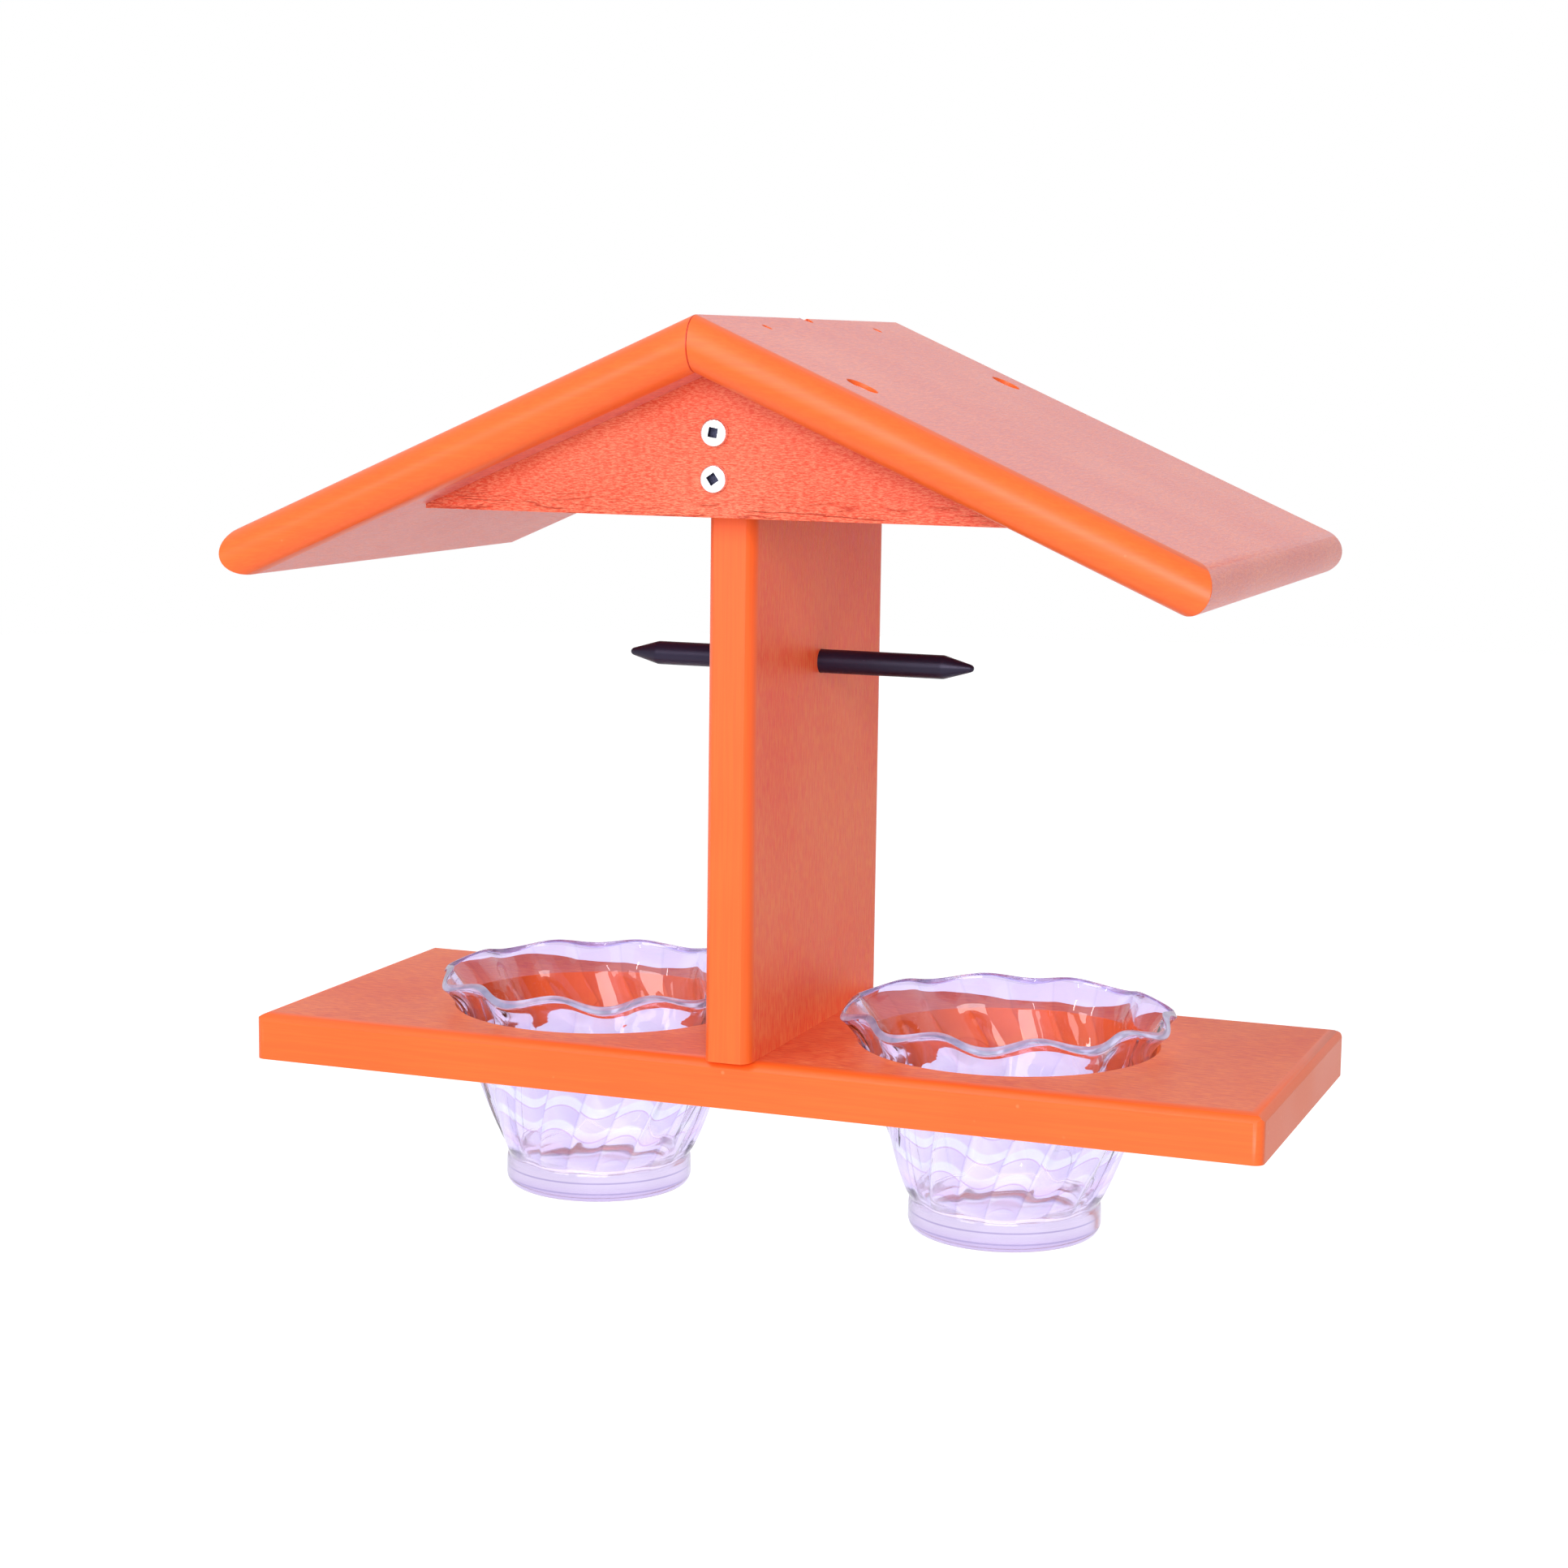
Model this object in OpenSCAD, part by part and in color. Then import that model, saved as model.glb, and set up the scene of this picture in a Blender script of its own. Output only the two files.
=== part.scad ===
// Hanging bird feeder of thick recycled-plastic boards. A tray carries two lift-out swirl cups, an
// upright board rises from it, and a gabled roof on two triangular end boards covers the cups.
// Millimetres. X runs along the tray, Y front to back, Z up.
// The origin is the mouth of the hanger hole, in the top of the post under the ridge.

/* [Boards] */
// Thickness of every board
board_t = 19; // [15:0.5:24]

/* [Tray] */
// Length of the tray
tray_l = 416.5; // [400:0.5:520]
// Front-to-back width of the tray
tray_w = 156; // [150:1:190]
// How far the middle of the tray lies behind the middle of the post
tray_back = 6; // [0:0.5:8]
// Radius of the arcs that ease the tray's top edges
tray_edge_r = 6.4; // [4:0.1:9]
// How far those arcs reach down the tray's sides
tray_edge_drop = 3.2; // [1:0.1:4]
// Rounding of the tray's upright corners
tray_corner_r = 4; // [1:0.5:6]

/* [Post] */
// Front-to-back width of the post
post_w = 152; // [140:1:160]
// Radius of the arcs that ease the post's upright edges
post_edge_r = 7.5; // [4:0.1:9]
// How far those arcs reach into the post's front and back edges
post_edge_drop = 3; // [1:0.1:4]
// Height of the ridge above the tray
ridge_h = 283.3; // [270:0.1:330]

/* [Roof] */
// Slope of each roof panel in degrees
roof_pitch = 23.7; // [20:0.1:27]
// How far the roof reaches past the gables, over its rounded edges
roof_overhang = 25.5; // [20:0.5:50]
// Length of each panel down its slope, from the ridge to the tip of the eave
roof_slope_l = 214.5; // [200:0.5:240]

/* [Gables] */
// Height of the gables at their middle
gable_h = 53; // [44:0.5:60]
// Upright cut at the gables' sharp ends
gable_tip_h = 1.5; // [0.5:0.5:3]

/* [Fruit peg] */
// Diameter of the peg
peg_d = 9.5; // [6:0.25:12]
// How far the peg stands out on each side of the post
peg_reach = 63.5; // [40:0.5:80]
// Length of each pointed end
peg_point_l = 12; // [6:0.5:18]
// Diameter of the blunt tip
peg_tip_d = 2.6; // [1:0.2:4]
// Height of the peg above the tray
peg_h = 148.5; // [130:0.5:160]
// Gap between the peg and its hole in the post
peg_gap = 0.1; // [0.05:0.05:0.3]
// Extra radius of the band on the peg that grips the post
peg_band = 0.05; // [0.01:0.01:0.05]

/* [Cups] */
// Distance of each cup from the middle of the post
cup_x = 89; // [86:0.5:110]
// Diameter of the tray's holes
cup_hole_d = 120.6; // [110:0.2:124]
// Gap between a cup and its hole
cup_gap = 0.3; // [0.2:0.1:1]
// Largest diameter of a cup's lip
lip_d = 135.2; // [130:0.2:144]
// Height of the lip's outer edge above the tray
lip_h = 11.6; // [8:0.1:18]
// Depth of a cup below the tray's top face
cup_drop = 76.5; // [60:0.5:90]
// Diameter of a cup's foot
foot_d = 77.5; // [60:0.5:84]
// Height of a cup's plain foot
foot_h = 14; // [8:0.5:20]
// Rounding at the bottom of the foot
foot_edge_r = 4; // [1:0.5:6]
// Thickness of a cup's wall
cup_wall = 2.8; // [2:0.1:4]
// Thickness of a cup's floor
cup_floor = 8; // [5:0.5:12]
// Depth of the flutes in a cup's wall
flute_depth = 3; // [1:0.1:4]
// Depth of the flutes at the lip's edge
lip_ruffle = 5; // [1:0.1:6]
// Up and down swing of the lip, lowest where it reaches out
lip_wave = 1.6; // [0:0.1:4]
// Turn of the flutes from the foot to the tray, in degrees
body_twist = 26; // [0:1:60]
// Further turn of the flutes in the lip, in degrees
lip_twist = 4.7; // [0:0.1:40]
// Number of flutes in a cup
flutes = 10; // [6:1:14]
// How far the right cup is turned in its hole, in degrees
right_cup_turn = -4.2; // [-18:0.2:18]
// How far the left cup is turned in its hole, in degrees
left_cup_turn = 12.6; // [-18:0.2:18]

/* [Screws] */
// Diameter of the screws' shanks
shank_d = 4.2; // [3:0.1:5]
// Diameter of the large screw heads
head_d = 10.2; // [8:0.1:11]
// Height of the large screw heads
head_h = 3; // [2:0.1:4]
// Width of the square drive recess
drive_w = 3.7; // [2.4:0.1:4]
// Gap between a screw and its hole
screw_gap = 0.1; // [0.05:0.05:0.3]
// Distance of the upper gable screws below the gables' peak
gable_screw_drop = 21.8; // [19:0.1:26]
// Distance between the two screws of a gable
gable_screw_pitch = 16.9; // [13:0.1:20]
// How far the gable screws stand to the right of the middle
gable_screw_shift = 1.6; // [0:0.1:3]
// Length of the gable screws under the head
gable_screw_l = 41; // [34:0.5:50]
// Distance of the roof screws from the ridge, down the slope
roof_screw_s = 61.6; // [50:0.2:80]
// Distance of the roof screws from the gables' outer faces
roof_screw_inset = 5; // [4:0.5:12]
// Length of the roof screws under the head
roof_screw_l = 32; // [26:0.5:36]
// Diameter of the roof screws' sunk holes
sink_d = 12; // [11:0.2:13]
// Depth of the roof screws' sunk holes
sink_depth = 5; // [4:0.5:7]
// Diameter of the ridge screws' thin shanks
trim_shank_d = 2.4; // [2:0.1:3]
// Diameter of the ridge screws' small heads
trim_head_d = 3.6; // [3.4:0.1:7]
// Distance of the ridge screws from the ridge, down the slope
ridge_screw_s = 9.7; // [8:0.1:10]
// Distance of the right panel's ridge screws from the post's front and back edges
ridge_screw_inset = 13; // [9:0.5:18]
// Shift of the left panel's ridge screws towards the middle
ridge_screw_shift = 12; // [6:0.5:20]
// Length of the ridge screws under the head
ridge_screw_l = 31; // [26:0.5:34]
// Distance of the outer tray screws from the post's front and back edges
tray_screw_inset = 26; // [16:1:40]
// Length of the tray screws under the head
tray_screw_l = 46; // [38:0.5:56]

/* [Hanger hole] */
// Diameter of the hole in the post for a hanger
hanger_d = 5; // [4:0.1:7]
// Depth of the hole in the post
hanger_depth = 40; // [25:1:60]
// Diameter of the wider hole through the ridge
ridge_hole_d = 7; // [7:0.2:10]

/* [Hidden] */
$fn = 64;

board_orange = [1.0, 0.47, 0.24];
peg_black = [0.08, 0.08, 0.1];
screw_white = [0.88, 0.88, 0.9];
cup_clear = [0.86, 0.84, 0.97, 0.45];

// The roof's underside peaks this far below the ridge, where the post's top and the origin are
roof_drop = board_t / cos(roof_pitch);
ridge_z = roof_drop;
tray_top_z = ridge_z - ridge_h;
post_face_y = post_w / 2;
gable_face_y = post_face_y + board_t;
roof_depth = 2 * (gable_face_y + roof_overhang);
roof_screw_y = gable_face_y - roof_screw_inset;
edge_r = board_t / 2;
// Longer than any board, for cutting
reach = 2 * (tray_l + ridge_h);

cup_hole_r = cup_hole_d / 2;
seat_r = cup_hole_r - cup_gap;
lip_r = lip_d / 2;
foot_r = foot_d / 2;
cup_h = cup_drop + lip_h;
// Steps of a cup's surface: around each flute, up the body and up the lip
flute_steps = 10;
body_steps = 7;
lip_steps = 4;
// Rise of the wall above the foot, and flare of the lip, as powers of the height
body_power = 0.78;
lip_power = 1.25;
// Height over which the flutes grow out of the plain foot
flute_grow_h = 14;
// Rise of the lip's edge face from its outer to its inner corner, as a share of the wall
lip_slant = 0.63;
// Height of the part of the wall, under the lip's edge, that swings up and down
wave_grow_h = 22;

module rounded_rectangle(length, width, radius) {
    square([length - 2 * radius, width], center = true);
    square([length, width - 2 * radius], center = true);
    for (sx = [-1, 1], sy = [-1, 1])
        translate([sx * (length / 2 - radius), sy * (width / 2 - radius)])
            circle(radius);
}

// How far an arc that touches a board's face runs along it, when it reaches a given drop past it
function arc_inset(radius, drop) = sqrt(pow(radius, 2) - pow(radius - drop, 2));

// Section of a board with its top at zero, its upper edges eased by arcs that touch the top
module eased_section(width, thickness, radius, drop) {
    inset = arc_inset(radius, drop);
    intersection() {
        translate([-width / 2, -thickness])
            square([width, thickness]);
        union() {
            translate([-width / 2, -thickness])
                square([width, thickness - drop]);
            translate([-width / 2 + inset, -thickness])
                square([width - 2 * inset, thickness]);
            for (side = [-1, 1])
                translate([side * (width / 2 - inset), -radius])
                    circle(radius);
        }
    }
}

// Plan of an upright board, its four corners eased by arcs that touch its wide faces
module eased_plan(thickness, width, radius, drop) {
    inset = arc_inset(radius, drop);
    intersection() {
        square([thickness, width], center = true);
        union() {
            square([thickness, width - 2 * inset], center = true);
            square([thickness - 2 * drop, width], center = true);
            for (sx = [-1, 1], sy = [-1, 1])
                translate([sx * (thickness / 2 - radius), sy * (width / 2 - inset)])
                    circle(radius);
        }
    }
}

// Turns a drawing on the sheet's X and Y into one that stands on X and Z, with the depth centred
module upright(depth) {
    rotate([90, 0, 0])
        linear_extrude(depth, center = true)
            children();
}

// Screw with its head's underside at zero, the head above and the shank below
module screw(length, head_dia, head_height, shank_dia = shank_d) {
    head_r = head_dia / 2;
    point_l = 1.5 * shank_dia;
    dome_r = (head_r * head_r + head_height * head_height) / (2 * head_height) * 1.15;
    drive = drive_w * min(1, head_dia / head_d);
    difference() {
        union() {
            rotate_extrude()
                intersection() {
                    square([head_r, head_height]);
                    translate([0, head_height - dome_r])
                        circle(dome_r, $fn = 128);
                }
            translate([0, 0, point_l - length])
                cylinder(h = length - point_l + 0.01, d = shank_dia);
            translate([0, 0, -length])
                cylinder(h = point_l, d1 = 0.6, d2 = shank_dia);
        }
        translate([-drive / 2, -drive / 2, 0.3 * head_height])
            cube([drive, drive, head_height]);
    }
}

// Room for a screw's shank, from just above its head's underside to just past its point
module shank_room(length, shank_dia = shank_d) {
    translate([0, 0, -length - screw_gap])
        cylinder(h = length + 2 * screw_gap, d = shank_dia + 2 * screw_gap);
}

// Puts children on a panel's top face: side is 1 for the right panel and -1 for the left
module on_roof(side, slope, y) {
    translate([0, y, ridge_z])
        rotate([0, side * roof_pitch, 0])
            translate([side * slope, 0, 0])
                children();
}

module at_gable_screws(side) {
    for (k = [0, 1])
        at_gable_screw(side, k)
            children();
}

// The k-th screw of the front (-1) or rear (1) gable, pointing into the post
module at_gable_screw(side, k) {
    translate([gable_screw_shift, side * gable_face_y, -gable_screw_drop - k * gable_screw_pitch])
        rotate([-side * 90, 0, 0])
            children();
}

module at_roof_screw(side, end) {
    on_roof(side, roof_screw_s, end * roof_screw_y)
        translate([0, 0, -sink_depth])
            children();
}

module at_ridge_screw(side, end) {
    inset = ridge_screw_inset + (side < 0 ? ridge_screw_shift : 0);
    on_roof(side, ridge_screw_s, end * (post_face_y - inset))
        translate([0, 0, -head_h])
            children();
}

module at_tray_screw(k) {
    translate([0, k * (post_face_y - tray_screw_inset), tray_top_z - board_t + head_h])
        rotate([180, 0, 0])
            children();
}

module tray() {
    color(board_orange)
        difference() {
            translate([0, tray_back, tray_top_z])
                intersection() {
                    upright(tray_w + 1)
                        eased_section(tray_l, board_t, tray_edge_r, tray_edge_drop);
                    rotate([0, 0, 90])
                        upright(tray_l + 1)
                            eased_section(tray_w, board_t, tray_edge_r, tray_edge_drop);
                    translate([0, 0, -board_t - 1])
                        linear_extrude(board_t + 2)
                            rounded_rectangle(tray_l, tray_w, tray_corner_r);
                }
            for (side = [-1, 1])
                translate([side * cup_x, tray_back, tray_top_z - board_t - 1])
                    cylinder(h = board_t + 2, d = cup_hole_d, $fn = 160);
            for (k = [-1, 0, 1])
                at_tray_screw(k) {
                    shank_room(tray_screw_l);
                    cylinder(h = head_h + 1, d = head_d + 2 * screw_gap);
                }
        }
}

module post() {
    color(board_orange)
        difference() {
            intersection() {
                translate([0, 0, tray_top_z])
                    linear_extrude(ridge_h)
                        eased_plan(board_t, post_w, post_edge_r, post_edge_drop);
                upright(post_w + 1)
                    under_roof(tray_top_z, board_t / 2 + 1);
            }
            translate([0, 0, tray_top_z + peg_h])
                rotate([0, 90, 0])
                    cylinder(h = board_t + 2, d = peg_d + 2 * peg_gap, center = true);
            translate([0, 0, -hanger_depth])
                cylinder(h = hanger_depth + 1, d = hanger_d);
            for (side = [-1, 1]) {
                at_gable_screws(side)
                    shank_room(gable_screw_l);
                for (end = [-1, 1])
                    at_ridge_screw(side, end)
                        shank_room(ridge_screw_l, trim_shank_d);
            }
            for (k = [-1, 0, 1])
                at_tray_screw(k)
                    shank_room(tray_screw_l);
        }
}

// Outline under the two roof panels, from a lower level and out to a half width
module under_roof(low_z, half_w) {
    side_z = -half_w * tan(roof_pitch);
    polygon([[-half_w, low_z], [half_w, low_z], [half_w, side_z], [0, 0], [-half_w, side_z]]);
}

module gable(side) {
    half_w = (gable_h - gable_tip_h) / tan(roof_pitch);
    color(board_orange)
        difference() {
            translate([0, side * (post_face_y + board_t / 2), 0])
                upright(board_t)
                    under_roof(-gable_h, half_w);
            at_gable_screws(side)
                shank_room(gable_screw_l);
            for (panel = [-1, 1])
                at_roof_screw(panel, side)
                    shank_room(roof_screw_l);
        }
}

// A panel seen from the front: square cut at the ridge's middle plane, half round at the eave
module panel_outline() {
    intersection() {
        rotate(-roof_pitch) {
            translate([-board_t, -board_t])
                square([roof_slope_l + board_t - edge_r, board_t]);
            translate([roof_slope_l - edge_r, -edge_r])
                circle(edge_r);
        }
        translate([0, -reach])
            square([reach, 2 * reach]);
    }
}

// A panel seen down its slope: half round at its front and back edges
module panel_section() {
    square([roof_depth - board_t, board_t], center = true);
    for (end = [-1, 1])
        translate([end * (roof_depth / 2 - edge_r), 0])
            circle(edge_r);
}

module right_panel_board() {
    translate([0, 0, ridge_z])
        intersection() {
            upright(roof_depth + 1)
                panel_outline();
            rotate([0, roof_pitch, 0])
                translate([-board_t, 0, -edge_r])
                    rotate([90, 0, 90])
                        linear_extrude(roof_slope_l + 2 * board_t)
                            panel_section();
        }
}

module roof_panel(side) {
    color(board_orange)
        difference() {
            mirror([side < 0 ? 1 : 0, 0, 0])
                right_panel_board();
            for (end = [-1, 1]) {
                at_roof_screw(side, end) {
                    shank_room(roof_screw_l);
                    cylinder(h = sink_depth + 1, d = sink_d);
                }
                at_ridge_screw(side, end)
                    cylinder(h = head_h + 1, d = trim_head_d + 2 * screw_gap);
                for (panel = [-1, 1])
                    at_ridge_screw(panel, end)
                        shank_room(ridge_screw_l, trim_shank_d);
            }
            cylinder(h = 4 * board_t, d = ridge_hole_d, center = true);
        }
}

module fruit_peg() {
    straight_l = board_t + 2 * (peg_reach - peg_point_l);
    color(peg_black)
        translate([0, 0, tray_top_z + peg_h])
            rotate([0, 90, 0]) {
                cylinder(h = straight_l, d = peg_d, center = true);
                cylinder(h = board_t, d = peg_d + 2 * peg_band, center = true);
                for (end = [0, 1])
                    mirror([0, 0, end])
                        translate([0, 0, straight_l / 2])
                            cylinder(h = peg_point_l, d1 = peg_d, d2 = peg_tip_d);
            }
}

// Share of the way from one height to another, held between 0 and 1
function share(h, low, high) = max(0, min(1, (h - low) / (high - low)));

// Radius of a cup's outside at a flute's crest, at height h above the bottom of the foot
function crest_r(h) =
    h < foot_edge_r
        ? foot_r - foot_edge_r + sqrt(pow(foot_edge_r, 2) - pow(foot_edge_r - h, 2))
    : h < foot_h ? foot_r
    : h < cup_drop ? foot_r + (seat_r - foot_r) * pow(share(h, foot_h, cup_drop), body_power)
    : seat_r + (lip_r - seat_r) * pow((h - cup_drop) / lip_h, lip_power);

function flute_turn(h) =
    body_twist * share(h, foot_h, cup_drop) + lip_twist * share(h, cup_drop - lip_h, cup_h);

// The flutes grow out of the plain foot, and again in the lip
function flute_dip(h) =
    flute_depth * sqrt(share(h, foot_h, foot_h + flute_grow_h))
        + (lip_ruffle - flute_depth) * share(h, cup_drop - lip_h, cup_h);

function wave(h) = lip_wave * pow(share(h, cup_h - wave_grow_h, cup_h), 2);

// Point of a cup's surface at an angle, set in from the outside and raised
function cup_point(angle, h, inset, rise) =
    let (cycle = flutes * (angle - flute_turn(h)),
         r = crest_r(h) - flute_dip(h) * (1 - cos(cycle)) / 2 - inset)
    [r * cos(angle), r * sin(angle), h + rise - wave(h) * cos(cycle)];

// Rise of the inside above the outside, which grows up the lip as its edge face is slanted
function lip_rise(h) = lip_slant * cup_wall * share(h, cup_drop, cup_h);

// Rows of a cup's surface as height, inset and rise, from under the foot, up the outside,
// over the lip's edge face and down the inside to the floor
outer_rows = concat(
    [for (h = [0, 0.15, 0.5, 1]) [h * foot_edge_r, 0, 0]],
    [for (k = [0 : body_steps]) [foot_h + (cup_drop - foot_h) * k / body_steps, 0, 0]],
    [for (k = [1 : lip_steps]) [cup_drop + lip_h * k / lip_steps, 0, 0]]
);
edge_rows = [
    for (k = [0.1, 0.5, 0.9])
        [cup_h, k * cup_wall, (lip_slant * k + 0.6 * k * (1 - k)) * cup_wall]
];
inner_rows = concat(
    [for (k = [lip_steps : -1 : 1])
        let (h = cup_drop + lip_h * k / lip_steps)
        [h, cup_wall, lip_rise(h)]],
    [for (k = [body_steps : -1 : 0])
        [foot_h + (cup_drop - foot_h) * k / body_steps, cup_wall, 0]],
    [[foot_h, 2.2 * cup_wall, cup_floor - foot_h]]
);
cup_rows = concat(outer_rows, edge_rows, inner_rows);

module swirl_cup() {
    around = flutes * flute_steps;
    rows = len(cup_rows);
    under = rows * around;
    floor_middle = under + 1;
    points = concat(
        [for (row = cup_rows, j = [0 : around - 1])
            cup_point(j * 360 / around, row[0], row[1], row[2])],
        [[0, 0, 0], [0, 0, cup_floor]]
    );
    faces = concat(
        [for (i = [0 : rows - 2], j = [0 : around - 1])
            let (a = i * around + j, b = i * around + (j + 1) % around)
            [a, a + around, b + around]],
        [for (i = [0 : rows - 2], j = [0 : around - 1])
            let (a = i * around + j, b = i * around + (j + 1) % around)
            [a, b + around, b]],
        [for (j = [0 : around - 1]) [under, j, (j + 1) % around]],
        [for (j = [0 : around - 1])
            [floor_middle, under - around + (j + 1) % around, under - around + j]]
    );
    polyhedron(points, faces, convexity = 4);
}

module cup(side) {
    color(cup_clear)
        translate([side * cup_x, tray_back, tray_top_z - cup_drop])
            rotate([0, 0, side < 0 ? left_cup_turn : right_cup_turn])
                swirl_cup();
}

module gable_screw(side, k) {
    color(screw_white)
        at_gable_screw(side, k)
            rotate([0, 0, k * 45 - 10])
                screw(gable_screw_l, head_d, head_h);
}

module roof_screw(side, end) {
    color(screw_white)
        at_roof_screw(side, end)
            screw(roof_screw_l, head_d, head_h);
}

module ridge_screw(side, end) {
    color(screw_white)
        at_ridge_screw(side, end)
            screw(ridge_screw_l, trim_head_d, 0.6 * head_h, trim_shank_d);
}

module tray_screw(k) {
    color(screw_white)
        at_tray_screw(k)
            screw(tray_screw_l, head_d, 0.9 * head_h);
}

tray();
post();
gable(-1);  // gable_front
gable(1);  // gable_rear
roof_panel(-1);  // roof_panel_left
roof_panel(1);  // roof_panel_right
fruit_peg();
cup(-1);  // cup_left
cup(1);  // cup_right
gable_screw(-1, 0);  // gable_screw_front_upper
gable_screw(-1, 1);  // gable_screw_front_lower
gable_screw(1, 0);  // gable_screw_rear_upper
gable_screw(1, 1);  // gable_screw_rear_lower
roof_screw(-1, -1);  // roof_screw_left_front
roof_screw(-1, 1);  // roof_screw_left_rear
roof_screw(1, -1);  // roof_screw_right_front
roof_screw(1, 1);  // roof_screw_right_rear
ridge_screw(-1, -1);  // ridge_screw_left_front
ridge_screw(-1, 1);  // ridge_screw_left_rear
ridge_screw(1, -1);  // ridge_screw_right_front
ridge_screw(1, 1);  // ridge_screw_right_rear
tray_screw(-1);  // tray_screw_front
tray_screw(0);  // tray_screw_middle
tray_screw(1);  // tray_screw_rear
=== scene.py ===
"""Looks of a hanging bird feeder: orange boards, two clear swirl cups and a black fruit peg.

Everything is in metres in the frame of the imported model, apart from the sizes of turned pieces,
which are in millimetres. X runs along the tray, Y from front to back and Z up, and the origin is
the mouth of the hanger hole, under the middle of the ridge.
"""

import logging
from dataclasses import dataclass, field
from enum import Enum
from math import atan2, cos, degrees, hypot, pi, radians, sin, sqrt
from typing import Callable, Optional, Sequence

import bpy
from mathutils import Matrix, Vector

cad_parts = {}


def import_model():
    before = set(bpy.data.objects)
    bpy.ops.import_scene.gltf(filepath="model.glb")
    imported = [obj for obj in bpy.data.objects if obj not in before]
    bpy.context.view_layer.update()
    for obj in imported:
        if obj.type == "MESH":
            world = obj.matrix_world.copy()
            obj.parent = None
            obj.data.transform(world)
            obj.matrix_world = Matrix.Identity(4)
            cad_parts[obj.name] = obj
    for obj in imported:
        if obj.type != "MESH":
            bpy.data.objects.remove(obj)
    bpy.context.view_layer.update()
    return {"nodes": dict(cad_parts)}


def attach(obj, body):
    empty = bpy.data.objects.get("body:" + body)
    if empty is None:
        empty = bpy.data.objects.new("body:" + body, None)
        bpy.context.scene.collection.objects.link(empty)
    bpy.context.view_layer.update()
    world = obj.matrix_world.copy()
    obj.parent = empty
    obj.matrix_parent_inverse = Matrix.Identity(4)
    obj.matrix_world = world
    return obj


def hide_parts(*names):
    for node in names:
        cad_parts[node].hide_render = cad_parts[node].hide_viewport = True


LOG = logging.getLogger("feeder")
MM = 0.001
ROOF_PITCH = radians(23.7)
Colour = tuple[float, float, float]
Material = bpy.types.Material
Piece = bpy.types.Object
Socket = bpy.types.NodeSocket
Sockets = bpy.types.bpy_prop_collection


class Grain(Enum):
    """Axis that a board's grain follows, as the order in which its coordinates are read."""

    ALONG_X = (0, 1, 2)
    ALONG_Y = (1, 0, 2)
    ALONG_Z = (2, 0, 1)


class Side(Enum):
    """Which of the two cups, by the sign of its place along the tray."""

    LEFT = -1
    RIGHT = 1


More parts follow.
